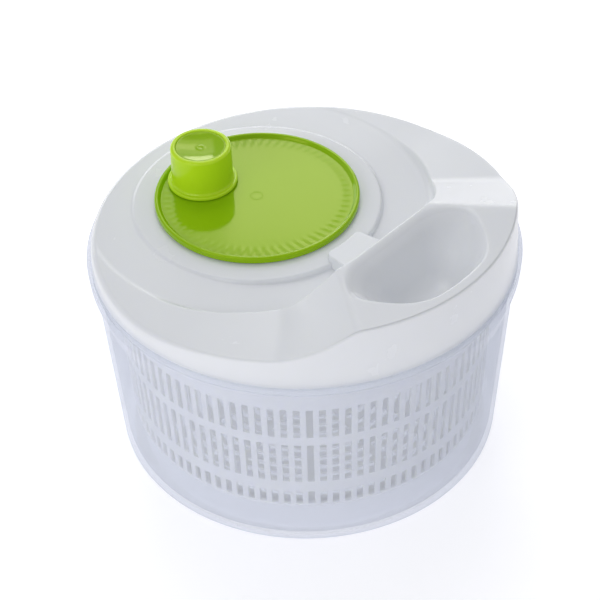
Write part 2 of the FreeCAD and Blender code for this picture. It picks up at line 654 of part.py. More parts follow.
# ---- knob ----
def make_knob():
    """Hollow knob with a skirt flange, turning on the disc's post under a captive washer."""
    low, top = KNOB_Z
    flange_top = low + KNOB_FLANGE_T
    groove_r = KNOB_BASE_R - 0.5
    body_z = flange_top + 1.2
    seat_z = top - KNOB_CAP_SINK - KNOB_CAP_T
    edge_centre = (KNOB_TOP_R - KNOB_EDGE, top - KNOB_EDGE)
    outline = [
        line((KNOB_BASE_R - KNOB_WALL, low), (KNOB_FLANGE_R, low)),
        line((KNOB_FLANGE_R, low), (KNOB_FLANGE_R, flange_top)),
        line((KNOB_FLANGE_R, flange_top), (groove_r, flange_top)),
        line((groove_r, flange_top), (KNOB_BASE_R, body_z)),
        line((KNOB_BASE_R, body_z), (KNOB_TOP_R, edge_centre[1])),
        corner_arc((KNOB_TOP_R, edge_centre[1]), edge_centre, (edge_centre[0], top)),
        line((edge_centre[0], top), (KNOB_CAP_R, top)),
        line((KNOB_CAP_R, top), (KNOB_CAP_R, seat_z)),
        line((KNOB_CAP_R, seat_z), (KNOB_CAP_R - 1.5, seat_z)),
        line((KNOB_CAP_R - 1.5, seat_z), (KNOB_CAP_R - 1.5, WEB_Z[1])),
        line((KNOB_CAP_R - 1.5, WEB_Z[1]), (POST_R + CAP_PLAY, WEB_Z[1])),
        line((POST_R + CAP_PLAY, WEB_Z[1]), (POST_R + CAP_PLAY, low + 0.6)),
        line((POST_R + CAP_PLAY, low + 0.6), (SLEEVE_R, low + 0.6)),
        line((SLEEVE_R, low + 0.6), (SLEEVE_R, WEB_Z[0])),
        line((SLEEVE_R, WEB_Z[0]), (KNOB_BASE_R - KNOB_WALL, WEB_Z[0])),
        line((KNOB_BASE_R - KNOB_WALL, WEB_Z[0]), (KNOB_BASE_R - KNOB_WALL, low)),
    ]
    return revolved(outline, KNOB_X, KNOB_Y)


def make_knob_cap():
    """Shallow dished cap pressed into the knob's top."""
    top = KNOB_Z[1] - KNOB_CAP_SINK
    low = top - KNOB_CAP_T
    dish_r = (KNOB_CAP_R**2 + KNOB_DISH**2) / (2 * KNOB_DISH)
    dish = Part.makeSphere(dish_r, vec(KNOB_X, KNOB_Y, top - KNOB_DISH + dish_r))
    return cylinder(KNOB_CAP_R, low, top, KNOB_X, KNOB_Y).cut(dish)


def make_knob_washer():
    return tube(SCREW_R, SLEEVE_R, POST_TOP_Z, POST_TOP_Z + 1, KNOB_X, KNOB_Y)


def make_knob_screw():
    head = (POST_TOP_Z + 1, POST_TOP_Z + 3.5)
    return screw(3.5, head, POST_TOP_Z - 10, KNOB_X, KNOB_Y, up=False)


NODES = {
    "bowl": make_bowl,
    "pivot_cap": make_pivot_cap,
    "basket": make_basket,
    "basket_floor": make_basket_floor,
    "basket_hub": make_basket_hub,
    "lid_shell": make_lid_shell,
    "shaft_bush": make_shaft_bush,
    "crank_bush": make_crank_bush,
    "drive_shaft": make_drive_shaft,
    "pinion": make_pinion,
    "thrust_washer": make_thrust_washer,
    "drive_plate": make_drive_plate,
    "drive_washer": make_drive_washer,
    "drive_screw": make_drive_screw,
    "crank_disc": make_crank_disc,
    "ring_gear": make_ring_gear,
    "crank_washer": make_crank_washer,
    "crank_screw": make_crank_screw,
    "knob": make_knob,
    "knob_cap": make_knob_cap,
    "knob_washer": make_knob_washer,
    "knob_screw": make_knob_screw,
}

for name, make in NODES.items():
    save(name, make())
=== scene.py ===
import math

import bmesh
import bpy
import numpy as np
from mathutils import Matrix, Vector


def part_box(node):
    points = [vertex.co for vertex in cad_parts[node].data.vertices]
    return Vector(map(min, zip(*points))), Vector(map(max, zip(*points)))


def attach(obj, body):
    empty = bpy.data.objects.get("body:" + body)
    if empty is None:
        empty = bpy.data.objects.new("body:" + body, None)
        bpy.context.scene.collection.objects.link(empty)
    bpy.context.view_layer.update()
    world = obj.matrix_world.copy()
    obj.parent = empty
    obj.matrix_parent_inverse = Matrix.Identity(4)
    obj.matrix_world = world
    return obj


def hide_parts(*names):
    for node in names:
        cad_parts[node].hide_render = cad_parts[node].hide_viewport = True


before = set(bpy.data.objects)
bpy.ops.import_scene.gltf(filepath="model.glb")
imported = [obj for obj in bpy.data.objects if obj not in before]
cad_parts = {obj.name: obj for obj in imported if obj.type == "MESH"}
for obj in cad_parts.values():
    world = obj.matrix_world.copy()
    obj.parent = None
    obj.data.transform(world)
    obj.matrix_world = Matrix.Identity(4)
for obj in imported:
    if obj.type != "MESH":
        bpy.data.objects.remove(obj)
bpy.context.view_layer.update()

# Looks of the crank-driven salad spinner. Shapes are worked out in millimetres; MM scales them into
# metres.
MM = 0.001


def node_box(node):
    """Lowest and highest corners of a CAD node, in millimetres."""
    low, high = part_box(node)
    return np.array(low) / MM, np.array(high) / MM


BOWL_HIGH = node_box("bowl")[1]
DISC_LOW, DISC_HIGH = node_box("crank_disc")
KNOB_LOW, KNOB_HIGH = node_box("knob")
CAP_LOW, CAP_HIGH = node_box("knob_cap")

BOWL_R = BOWL_HIGH[0]
BOWL_TOP = BOWL_HIGH[2]
DISC_R = (DISC_HIGH[0] - DISC_LOW[0]) / 2
DISC_X = (DISC_HIGH[0] + DISC_LOW[0]) / 2
KNOB_X = (KNOB_HIGH[0] + KNOB_LOW[0]) / 2
KNOB_Y = (KNOB_HIGH[1] + KNOB_LOW[1]) / 2
KNOB_FLANGE_R = (KNOB_HIGH[0] - KNOB_LOW[0]) / 2
CAP_R = (CAP_HIGH[0] - CAP_LOW[0]) / 2
SCREW_HOLE_R = 1.75

# How far past a fillet's end the holding point of a flat sits, and the turn between points on a fillet.
HOLD = 0.35
FILLET_STEP = 14


# ---- mesh helpers ----
def make_object(name, vertices, faces, sharp_angle=38.0, normals=None):
    """A smooth-shaded mesh object from millimetre vertices; edges over sharp_angle stay crisp.
    Vertices with a given (non-zero) normal are shaded with it."""
    mesh = bpy.data.meshes.new(name)
    mesh.from_pydata([tuple(v) for v in np.asarray(vertices) * MM], [], faces)
    mesh.update()
    work = bmesh.new()
    work.from_mesh(mesh)
    bmesh.ops.recalc_face_normals(work, faces=work.faces)
    work.to_mesh(mesh)
    work.free()
    mesh.shade_smooth()
    mesh.set_sharp_from_angle(angle=math.radians(sharp_angle))
    if normals is not None:
        mesh.normals_split_custom_set_from_vertices(normals.tolist())
    piece = bpy.data.objects.new(name, mesh)
    bpy.context.scene.collection.objects.link(piece)
    return piece


def place(piece, body, slot, material, *replaced):
    """Give a piece its finish and body, and hide the CAD nodes that it stands for. slot is not used."""
    piece.data.materials.clear()
    piece.data.materials.append(material)
    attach(piece, body)
    if replaced:
        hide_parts(*replaced)
    return piece


def outline(corners, closed=True):
    """Points of a (radius, height) outline from (r, z, fillet) corners. Each fillet is an arc with a
    holding point just past each end, so that the flats beside it shade flat."""
    points = []
    count = len(corners)
    for i, (r, z, fillet) in enumerate(corners):
        here = np.array((r, z), float)
        at_end = not closed and i in (0, count - 1)
        if fillet <= 0 or at_end:
            points.append(here)
            continue
        before = np.array(corners[i - 1][:2], float) - here
        after = np.array(corners[(i + 1) % count][:2], float) - here
        room_before, room_after = np.linalg.norm(before), np.linalg.norm(after)
        before, after = before / room_before, after / room_after
        turn = math.pi - math.acos(np.clip(before @ after, -1, 1))
        reach = min(fillet * math.tan(turn / 2), 0.49 * room_before, 0.49 * room_after)
        radius = reach / math.tan(turn / 2)
        middle = (before + after) / np.linalg.norm(before + after)
        centre = here + middle * (radius / math.cos(turn / 2))
        start, end = here + before * reach, here + after * reach
        steps = max(2, round(math.degrees(turn) / FILLET_STEP))
        if room_before - reach > 3 * HOLD:
            points.append(start + before * HOLD)
        for step in range(steps + 1):
            part = step / steps
            from_start = math.sin((1 - part) * turn) * (start - centre)
            from_end = math.sin(part * turn) * (end - centre)
            points.append(centre + (from_start + from_end) / math.sin(turn))
        if room_after - reach > 3 * HOLD:
            points.append(end + after * HOLD)
    return points


def lathe(name, points, x=0.0, y=0.0, segments=128, closed=True, relief=None):
    """Revolve an outline about a vertical axis. relief(r, z, angles) may raise the surface."""
    angles = np.arange(segments) * 2 * math.pi / segments
    vertices, rings = [], []
    for r, z in points:
        if r < 1e-6:
            rings.append([len(vertices)])
            vertices.append((x, y, z))
            continue
        heights = np.full(segments, z) + (relief(r, z, angles) if relief else 0.0)
        rings.append(list(range(len(vertices), len(vertices) + segments)))
        vertices += list(zip(x + r * np.cos(angles), y + r * np.sin(angles), heights))
    pairs = list(zip(rings, rings[1:] + rings[:1])) if closed else list(zip(rings, rings[1:]))
    faces = []
    for low, high in pairs:
        if len(low) == 1 and len(high) == 1:
            continue
        for j in range(segments):
            k = (j + 1) % segments
            if len(low) == 1:
                faces.append((low[0], high[k], high[j]))
            elif len(high) == 1:
                faces.append((low[j], low[k], high[0]))
            else:
                faces.append((low[j], low[k], high[k], high[j]))
    return make_object(name, vertices, faces)


# ---- materials ----
def mix_colours(nodes, links, factor, low, high):
    """Colour that runs from low to high with a factor."""
    mix = nodes.new("ShaderNodeMix")
    mix.data_type = "RGBA"
    mix.inputs["A"].default_value = (*low, 1)
    mix.inputs["B"].default_value = (*high, 1)
    links.new(factor, mix.inputs["Factor"])
    return mix.outputs["Result"]


def noise(nodes, links, scale, detail):
    """Noise factor in a piece's own space; scale counts its patches per metre."""
    texture = nodes.new("ShaderNodeTexNoise")
    texture.inputs["Scale"].default_value = scale
    texture.inputs["Detail"].default_value = detail
    links.new(nodes.new("ShaderNodeTexCoord").outputs["Object"], texture.inputs["Vector"])
    return texture.outputs["Fac"]


def spread(nodes, links, factor, low, high):
    """Number that runs from low to high with a factor."""
    span = nodes.new("ShaderNodeMapRange")
    span.inputs["To Min"].default_value = low
    span.inputs["To Max"].default_value = high
    links.new(factor, span.inputs["Value"])
    return span.outputs["Result"]


# Scale and detail of the noises, and how high the mould texture stands and how deep light scatters, in
# metres.
DRIFT_NOISE = (14.0, 3.0)
GLOSS_NOISE = (55.0, 5.0)
MOULD_NOISE = (900.0, 2.0)
TOOL_NOISE = (1600.0, 2.0)
MOULD_HEIGHT = 0.0002
SCATTER_DEPTH = 0.004
PLASTIC_IOR = 1.5
EDGE_BLEND = 0.1
PLAIN = (1.0, 1.0, 1.0)


def moulded_plastic(name, colour, drift, roughness, bump=0.02, scatter=0.0, tint=PLAIN):
    """Moulded plastic: slow colour drift, uneven gloss and a fine mould texture."""
    material = bpy.data.materials.new(name)
    material.use_nodes = True
    nodes, links = material.node_tree.nodes, material.node_tree.links
    shader = nodes["Principled BSDF"]
    tone = mix_colours(nodes, links, noise(nodes, links, *DRIFT_NOISE), colour, drift)
    links.new(tone, shader.inputs["Base Color"])
    gloss = spread(nodes, links, noise(nodes, links, *GLOSS_NOISE), *roughness)
    links.new(gloss, shader.inputs["Roughness"])
    relief = nodes.new("ShaderNodeBump")
    relief.inputs["Strength"].default_value = bump
    relief.inputs["Distance"].default_value = MOULD_HEIGHT
    links.new(noise(nodes, links, *MOULD_NOISE), relief.inputs["Height"])
    links.new(relief.outputs["Normal"], shader.inputs["Normal"])
    shader.inputs["IOR"].default_value = PLASTIC_IOR
    shader.inputs["Specular Tint"].default_value = (*tint, 1)
    if scatter:
        shader.inputs["Subsurface Weight"].default_value = scatter
        shader.inputs["Subsurface Radius"].default_value = (1.0, 1.0, 0.8)
        shader.inputs["Subsurface Scale"].default_value = SCATTER_DEPTH
    return material


def clear_plastic(name, colour, drift, roughness, face_tint, edge_tint, body):
    """Tinted see-through plastic. What is behind shows through a tint that deepens where a wall is seen
    edge-on. body is the share of the plastic's own look, seen face-on and edge-on. Shadow rays pass
    through undimmed, so that the lamps light what is behind."""
    material = moulded_plastic(name, colour, drift, roughness)
    nodes, links = material.node_tree.nodes, material.node_tree.links
    edge = nodes.new("ShaderNodeLayerWeight")
    edge.inputs["Blend"].default_value = EDGE_BLEND
    facing = edge.outputs["Facing"]
    clear = nodes.new("ShaderNodeBsdfTransparent")
    links.new(mix_colours(nodes, links, facing, face_tint, edge_tint), clear.inputs["Color"])
    mix = nodes.new("ShaderNodeMixShader")
    links.new(spread(nodes, links, facing, *body), mix.inputs["Fac"])
    links.new(clear.outputs["BSDF"], mix.inputs[1])
    links.new(nodes["Principled BSDF"].outputs["BSDF"], mix.inputs[2])
    lit = nodes.new("ShaderNodeMixShader")
    links.new(nodes.new("ShaderNodeLightPath").outputs["Is Shadow Ray"], lit.inputs["Fac"])
    links.new(mix.outputs["Shader"], lit.inputs[1])
    links.new(nodes.new("ShaderNodeBsdfTransparent").outputs["BSDF"], lit.inputs[2])
    links.new(lit.outputs["Shader"], nodes["Material Output"].inputs["Surface"])
    return material


def turned_steel(name):
    """Bright steel with fine uneven marks."""
    material = bpy.data.materials.new(name)
    material.use_nodes = True
    nodes, links = material.node_tree.nodes, material.node_tree.links
    shader = nodes["Principled BSDF"]
    shader.inputs["Metallic"].default_value = 1.0
    marks = noise(nodes, links, *TOOL_NOISE)
    tone = mix_colours(nodes, links, marks, (0.50, 0.50, 0.52), (0.66, 0.66, 0.68))
    links.new(tone, shader.inputs["Base Color"])
    links.new(spread(nodes, links, marks, 0.22, 0.38), shader.inputs["Roughness"])
    return material


LID_WHITE = moulded_plastic(
    "lid_white",
    (0.83, 0.845, 0.87),
    (0.86, 0.875, 0.90),
    (0.22, 0.30),
    scatter=0.25,
)
BASKET_WHITE = moulded_plastic(
    "basket_white",
    (0.93, 0.935, 0.94),
    (0.96, 0.965, 0.97),
    (0.25, 0.35),
    scatter=0.8,
)
BOWL_BLUE = clear_plastic(
    "bowl_blue",
    (0.85, 0.87, 0.91),
    (0.89, 0.91, 0.95),
    (0.08, 0.13),
    face_tint=(0.975, 0.982, 1.0),
    edge_tint=(0.46, 0.50, 0.61),
    body=(0.15, 0.8),
)
GREEN = moulded_plastic(
    "crank_green",
    (0.28, 0.52, 0.003),
    (0.30, 0.55, 0.006),
    (0.07, 0.11),
    bump=0.01,
    scatter=0.15,
    tint=(1.0, 0.88, 0.2),
)
KNOB_GREEN = moulded_plastic(
    "knob_green",
    (0.54, 0.83, 0.014),
    (0.57, 0.86, 0.018),
    (0.12, 0.17),
    bump=0.01,
    scatter=0.15,
    tint=(1.0, 0.95, 0.6),
)
GEAR_WHITE = moulded_plastic(
    "gear_white",
    (0.74, 0.74, 0.70),
    (0.80, 0.80, 0.76),
    (0.40, 0.55),
    bump=0.08,
)
STEEL = turned_steel("screw_steel")


# ---- bowl ----
FOOT_RING_IN = 98.0
FOOT_RING_H = 1.0
WALL_FOOT_R = 108.96
WALL_TOP = (116.0, 105.0)
WALL_T = 2.2
FOOT_FILLET = 6.0
INNER_FOOT_FILLET = 7.0
BAND_TOP = (119.5, 117.5)
INNER_FOOT_R = 106.8
FLOOR_Z = 2.8
LIP_IN = 117.7
SHELF_Z = 120.0
SHELF_IN = 115.2
SPIGOT_TOP = 17.0
# A known fault, kept as it was: the spigot is 5 mm in radius in the CAD, and this
# draws a wide raised disc in its place.
SPIGOT_R = 55.0


def build_bowl():
    """Translucent bowl with a flared band under the rim and a shelf for the lid."""
    corners = [
        (0, FOOT_RING_H, 0),
        (FOOT_RING_IN - FOOT_RING_H, FOOT_RING_H, 0.8),
        (FOOT_RING_IN, 0, 0.5),
        (WALL_FOOT_R + 0.2, 0, FOOT_FILLET),
        (*WALL_TOP, 16.0),
        (*BAND_TOP, 12.0),
        (BOWL_R, BOWL_TOP, 0.8),
        (LIP_IN, BOWL_TOP, 0.6),
        (LIP_IN, SHELF_Z, 0.3),
        (SHELF_IN, SHELF_Z, 0.6),
        (WALL_TOP[0] - WALL_T, WALL_TOP[1], 16.0),
        (INNER_FOOT_R, FLOOR_Z, INNER_FOOT_FILLET),
        (SPIGOT_R, FLOOR_Z, 1.5),
        (SPIGOT_R, SPIGOT_TOP, 1.0),
        (0, SPIGOT_TOP, 0),
    ]
    piece = lathe("bowl_body", outline(corners, closed=False), segments=256, closed=False)
    return place(piece, "bowl", "bowl_plastic", BOWL_BLUE, "bowl")


# ---- lid ----
LID_BOTTOM = 120.2
SKIRT_R = 117.3
SKIRT_Z = 126.0
SKIRT_TAPER = 0.042
LID_WALL = 2.0
LAND_Z = 135.3
LAND_RISE_X = -10.0
LAND_RISE = 7.0 / 78.0
GRIP_TURN = math.radians(2.0)
RIDGE_X = 57.6
RIDGE_Z = 160.0
HUMP_FALL = 1.5 / 59.0
SLOPE_TOP = (57.7, 38.7, 159.2)
SLOPE_COURSE = math.radians(34.7)
SLOPE_SPAN = (69.0, 112.0)
FRONT_RATE = (0.78, 0.54)
REAR_RATE = (0.45, 0.37)
SLOPE_EASE = (5.0, 8.4)
REAR_EASE = 0.3
BASIN_R = 98.0
BASIN_DRAFT = 0.10
RIDGE_DRAFT = 0.07
BASIN_FALL_X = -30.0
BASIN_FALL = 0.0494
COLLAR_R = 69.5
COLLAR_Z = 136.5
COLLAR_FALL = 0.06
WELL_R = 55.8
WELL_FLOOR = 127.0
BOSS_R = 11.5
BUSH_R = 9.0
BOSS_Z = (118.0, 130.0)
RECESS_TOP = 158.0
RECESS_FLOOR = 130.0
RECESS_X = 65.0
RECESS_HALF = 45.0
RECESS_OUT_R = 109.3
RECESS_LEAN = (0.57, 0.70, 0.38)
RECESS_CORNER = (22.0, 0.62)
RECESS_OUT_CORNER = 24.0
RECESS_FILLET = 7.0
RECESS_EDGE = (6.0, 1.5)
RECESS_EDGE_X = (72.0, 22.0)
GRIP_EDGE = 1.4
BASIN_CORNER = 3.0
BASIN_FILLET = 4.0
BASIN_EDGE = 1.0
COLLAR_EDGE = 1.2
COLLAR_FILLET = 1.4
SIDE_EDGE = (3.4, 1.5)
# Heights between which the lid's surface is looked for, and how often that span is halved.
SEARCH_Z = (110.0, RIDGE_Z + 5.0)
SEARCH_STEPS = 24
PROBE = 0.04
# Rays of the lid's grid, in degrees about the crank's axis: from, to and step, finest at the grip.
RAY_STEPS = ((-52, -32, 0.5), (-32, 32, 0.32), (32, 52, 0.5), (52, 308, 1.3))
# Radius about the crank's axis just outside the fillet at the collar's foot.
COLLAR_CLEAR_R = 72.4


def join_round(a, b, r):
    """Union of two solids with a concave fillet of radius r where they meet."""
    reach = np.hypot(np.maximum(r - a, 0), np.maximum(r - b, 0))
    return np.maximum(r, np.minimum(a, b)) - reach


def meet_round(a, b, r):
    """Intersection of two solids with a convex rounding of radius r where they meet."""
    reach = np.hypot(np.maximum(r + a, 0), np.maximum(r + b, 0))
    return np.minimum(-r, np.maximum(a, b)) + reach


def ease_max(a, b, span):
    """The greater of two heights, eased together where they differ by less than span."""
    return np.maximum(a, b) + np.maximum(span - np.abs(a - b), 0) ** 2 / (4 * span)


def blend(t, low, high):
    """Ease from low to high while t runs from 0 to 1."""
    t = np.clip(t, 0, 1)
    return low + (high - low) * t * t * (3 - 2 * t)


def end_slope(x, y):
    """Height of the twisted face at each end of the grip, and how far it eases into the land. The rear
    end (y > 0) falls less steeply than the front one."""
    c, s = math.cos(SLOPE_COURSE), math.sin(SLOPE_COURSE)
    along = c * x + s * np.abs(y)
    across = c * np.abs(y) - s * x
    start = c * SLOPE_TOP[1] - s * SLOPE_TOP[0]
    part = np.clip((along - SLOPE_SPAN[0]) / (SLOPE_SPAN[1] - SLOPE_SPAN[0]), 0, 1)
    front = FRONT_RATE[0] + (FRONT_RATE[1] - FRONT_RATE[0]) * part
    rear = REAR_RATE[0] + (REAR_RATE[1] - REAR_RATE[0]) * part
    rate = np.where(y > 0, rear, front)
    ease = SLOPE_EASE[0] + (SLOPE_EASE[1] - SLOPE_EASE[0]) * part
    ease = ease * np.where(y > 0, REAR_EASE, 1.0)
    return SLOPE_TOP[2] - rate * (across - start), ease


def recess_wall(x, y, z):
    """Distance outside the finger recess's D-shaped section, which shrinks with depth. Here and in
    lid_solid, the bare factors just under 1 turn a gap across a leaning face into a distance from it."""
    depth = np.maximum(RECESS_TOP - z, 0)
    near = RECESS_X + RECESS_LEAN[0] * depth
    half = RECESS_HALF - RECESS_LEAN[1] * depth
    corner = np.minimum(RECESS_CORNER[0], RECESS_CORNER[1] * half)
    qx = near - x + corner
    qy = np.abs(y) - half + corner
    box = np.hypot(np.maximum(qx, 0), np.maximum(qy, 0))
    box = box + np.minimum(np.maximum(qx, qy), 0) - corner
    outer = np.hypot(x, y) - RECESS_OUT_R + RECESS_LEAN[2] * depth
    return meet_round(box * 0.84, outer * 0.94, RECESS_OUT_CORNER)


def grip_frame(x, y):
    """Coordinates turned to the grip's own axis."""
    c, s = math.cos(GRIP_TURN), math.sin(GRIP_TURN)
    return c * x + s * y, c * y - s * x


def lid_solid(x, y, z):
    """Signed distance (mm, negative inside) of the lid's top as a solid, with no skirt or well."""
    gx, gy = grip_frame(x, y)
    land = ease_max(LAND_Z, LAND_Z + LAND_RISE * (x - LAND_RISE_X), 1.0)
    slope, ease = end_slope(gx, gy)
    sides = ease_max(land, slope, ease)
    steepness = np.where(slope > land, 0.82, 0.995)
    top = (z - RIDGE_Z + HUMP_FALL * (gx - RIDGE_X)) * 0.9997
    high = meet_round(top, (z - sides) * steepness, GRIP_EDGE)
    disc_r = np.hypot(x - DISC_X, y)
    round_wall = (disc_r - BASIN_R - BASIN_DRAFT * (z - COLLAR_Z)) * 0.995
    ridge_wall = (gx - RIDGE_X + RIDGE_DRAFT * (RIDGE_Z - z)) * 0.9976
    basin = meet_round(round_wall, ridge_wall, BASIN_CORNER)
    floor = z + ease_max(-LAND_Z, BASIN_FALL * (x - BASIN_FALL_X) - LAND_Z, 0.5)
    body = meet_round(high, join_round(-basin, floor, BASIN_FILLET), BASIN_EDGE)
    collar_top = z - COLLAR_Z + COLLAR_FALL * (disc_r - WELL_R)
    collar = meet_round(collar_top, disc_r - COLLAR_R, COLLAR_EDGE)
    body = join_round(body, collar, COLLAR_FILLET)
    trough = meet_round(recess_wall(gx, gy, z), RECESS_FLOOR - z, RECESS_FILLET)
    edge = blend((gx - RECESS_EDGE_X[0]) / RECESS_EDGE_X[1], *RECESS_EDGE)
    return meet_round(body, -trough, edge)


def lid_normals(points):
    """Outward directions of the lid's surface at grid points, from the slope of its distance field."""
    x, y, z = points[..., 0], points[..., 1], points[..., 2]
    h = PROBE
    normals = np.stack(
        [
            lid_solid(x + h, y, z) - lid_solid(x - h, y, z),
            lid_solid(x, y + h, z) - lid_solid(x, y - h, z),
            lid_solid(x, y, z + h) - lid_solid(x, y, z - h),
        ],
        -1,
    )
    return normals / np.maximum(np.linalg.norm(normals, axis=-1, keepdims=True), 1e-9)


def lid_height(x, y, inside=0.0):
    """Height where the lid's solid reaches a depth of inside below its surface."""
    low = np.full_like(x, SEARCH_Z[0])
    high = np.full_like(x, SEARCH_Z[1])
    for _ in range(SEARCH_STEPS):
        middle = (low + high) / 2
        outside = lid_solid(x, y, middle) > -inside
        high = np.where(outside, middle, high)
        low = np.where(outside, low, middle)
    return (low + high) / 2


def skirt_radius(z):
    """Outer radius of the lid's tapering skirt at a height."""
    return SKIRT_R - SKIRT_TAPER * (z - SKIRT_Z)


def spread_rows(x_of, start, end, count):
    """Distances along each ray, closer together where the grip's and the recess's edges are."""
    part = np.linspace(0, 1, 500)[:, None]
    t = start + (end - start) * part
    gx, gy = grip_frame(*x_of(t))
    mouth = recess_wall(gx, gy, RECESS_TOP)
    foot = recess_wall(gx, gy, RECESS_FLOOR + 3.0)
    slope, _ = end_slope(gx, gy)
    crest = slope - RIDGE_Z + HUMP_FALL * (gx - RIDGE_X)
    density = 1 + 3.0 * np.exp(-((mouth / 2.0) ** 2)) + 0.7 * np.exp(-((foot / 3.0) ** 2))
    density += 1.5 * np.exp(-((crest / 1.2) ** 2))
    total = np.cumsum(density, 0)
    total = (total - total[:1]) / (total[-1:] - total[:1])
    wanted = np.arange(1, count + 1) / count
    rays = [np.interp(wanted, total[:, j], t[:, j]) for j in range(t.shape[1])]
    return [np.array(row) for row in zip(*rays)]


def build_lid():
    """The lid shell as one closed grid of rows (from the crank's bore, out over the top, down the skirt
    and back underneath) by columns (rays from the crank's axis)."""
    phi = np.radians(np.concatenate([np.arange(a, b - 0.01, step) for a, b, step in RAY_STEPS]))
    cos, sin = np.cos(phi), np.sin(phi)
    ones = np.ones_like(phi)

    def at_disc(t):
        return DISC_X + t * cos, t * sin

    def reach(radius):
        """Distance along each ray to a circle about the lid's axis."""
        return -DISC_X * cos + np.sqrt(radius**2 - (DISC_X * sin) ** 2)

    def lathed(r, z):
        x, y = at_disc(r * ones)
        return x, y, z * ones

    facing = np.cos(phi - GRIP_TURN)
    ridge = RIDGE_X - DISC_X * math.cos(GRIP_TURN)
    to_ridge = np.where(facing > 0.2, ridge / np.maximum(facing, 0.2), 1e3)
    basin = np.minimum(BASIN_R + 1.0, to_ridge)
    edge_r = skirt_radius(140.0)
    rounding = blend((edge_r * cos - 20.0) / 60.0, *SIDE_EDGE)
    edge = reach(edge_r - rounding)
    outside = COLLAR_CLEAR_R
    basin = np.minimum(basin, outside + 0.72 * (edge - outside))
    squeeze = np.minimum(1, np.minimum((basin - outside) / 14.0, (edge - basin) / 8.0))

    rows = [lathed(BUSH_R, BOSS_Z[0]), lathed(BUSH_R, BOSS_Z[1]), lathed(BOSS_R, BOSS_Z[1])]
    rows += [lathed(BOSS_R, WELL_FLOOR + 0.2), lathed(BOSS_R + 0.2, WELL_FLOOR)]
    rows += [lathed(r, WELL_FLOOR) for r in (20.0, 35.0, 50.0, WELL_R - 1.0)]
    rows += [lathed(WELL_R - 0.3, WELL_FLOOR + 0.1), lathed(WELL_R, WELL_FLOOR + 0.5)]
    rows += [lathed(WELL_R, z) for z in (130.0, 133.0, COLLAR_Z - 1.2, COLLAR_Z - 0.8)]
    rows += [lathed(WELL_R + 0.1, COLLAR_Z - 0.45), lathed(WELL_R + 0.35, COLLAR_Z - 0.15)]
    first = len(rows)

    stations = [ones * r for r in (WELL_R + 0.8, 59.5, 63.0, 66.0, 68.2)]
    stations += [ones * r for r in np.arange(68.7, outside, 0.37)]
    near = basin - 7.0 * squeeze
    stations += [outside + (near - outside) * f for f in np.arange(1, 7) / 6.0]
    stations += [basin + d * squeeze for d in np.arange(-6.6, 3.2, 0.36)]
    stations += spread_rows(at_disc, basin + 3.2 * squeeze, edge, 78)
    for t in stations:
        x, y = at_disc(t)
        rows.append((x, y, lid_height(x, y)))
    last = len(rows)

    top = rows[-1][2]
    outer = skirt_radius(top)
    for angle in np.radians((15, 30, 45, 60, 75, 90)):
        x, y = at_disc(reach(outer - rounding * (1 - math.sin(angle))))
        rows.append((x, y, top - rounding * (1 - math.cos(angle))))
    side = top - rounding
    for f in (0.04, 0.3, 0.6, 0.98, 1.0):
        z = side + (LID_BOTTOM + 0.5 - side) * f
        x, y = at_disc(reach(skirt_radius(z)))
        rows.append((x, y, z))
    foot = skirt_radius(LID_BOTTOM)
    lower_edge = ((0.15, 0.15), (0.5, 0.0), (1.5, 0.0), (1.85, 0.15), (LID_WALL, 0.5))
    for inset, rise in lower_edge:
        x, y = at_disc(reach(foot - inset))
        rows.append((x, y, (LID_BOTTOM + rise) * ones))

    inner_start = reach(edge_r - LID_WALL - 1.0)
    x, y = at_disc(inner_start)
    under = np.minimum(lid_height(x, y, LID_WALL), top - LID_WALL)
    for f in (0.3, 0.65, 1.0):
        z = LID_BOTTOM + 0.5 + (under - 1.0 - LID_BOTTOM - 0.5) * f
        xs, ys = at_disc(reach(skirt_radius(z) - LID_WALL))
        rows.append((xs, ys, z))
    rows.append((x, y, under))
    inner_basin = np.minimum(basin + LID_WALL, inner_start - 7.0)
    inner_reach = inner_basin + 3.0 - inner_start
    inner = [inner_start + inner_reach * f for f in np.arange(1, 21) / 20.0]
    inner += [inner_basin + d for d in np.arange(2.4, -4.1, -0.8)]
    inner_near = inner_basin - 4.4
    inner += [inner_near + (WELL_R + LID_WALL - inner_near) * f for f in np.arange(1, 6) / 5.0]
    for t in inner:
        xs, ys = at_disc(t)
        rows.append((xs, ys, lid_height(xs, ys, LID_WALL)))
    rows += [lathed(WELL_R + LID_WALL, z) for z in (130.0, WELL_FLOOR - LID_WALL + 0.4)]
    rows += [lathed(r, WELL_FLOOR - LID_WALL) for r in (WELL_R + LID_WALL - 0.4, 40.0, BOSS_R + 0.2)]
    rows += [lathed(BOSS_R, WELL_FLOOR - LID_WALL - 0.2), lathed(BOSS_R, BOSS_Z[0])]

    grid = np.array([np.stack(row, -1) for row in rows])
    count, columns = grid.shape[:2]
    faces = []
    for i in range(count):
        a, b = i * columns, ((i + 1) % count) * columns
        for j in range(columns):
            k = (j + 1) % columns
            faces.append((a + j, a + k, b + k, b + j))
    normals = np.zeros_like(grid)
    normals[first:last] = lid_normals(grid[first:last])
    piece = make_object("lid_top", grid.reshape(-1, 3), faces, 50.0, normals.reshape(-1, 3))
    return place(piece, "lid", "lid_plastic", LID_WHITE, "lid_shell")


TAB_HALF = 13.3
TAB_FLARE = (42.0, 14.6)
TAB_TOP = 140.0
TAB_FOOT = 128.0
TAB_END_R = 64.5
TAB_CORNER = 3.0
TAB_WAIST_X = 34.0
TAB_EDGE = 0.9


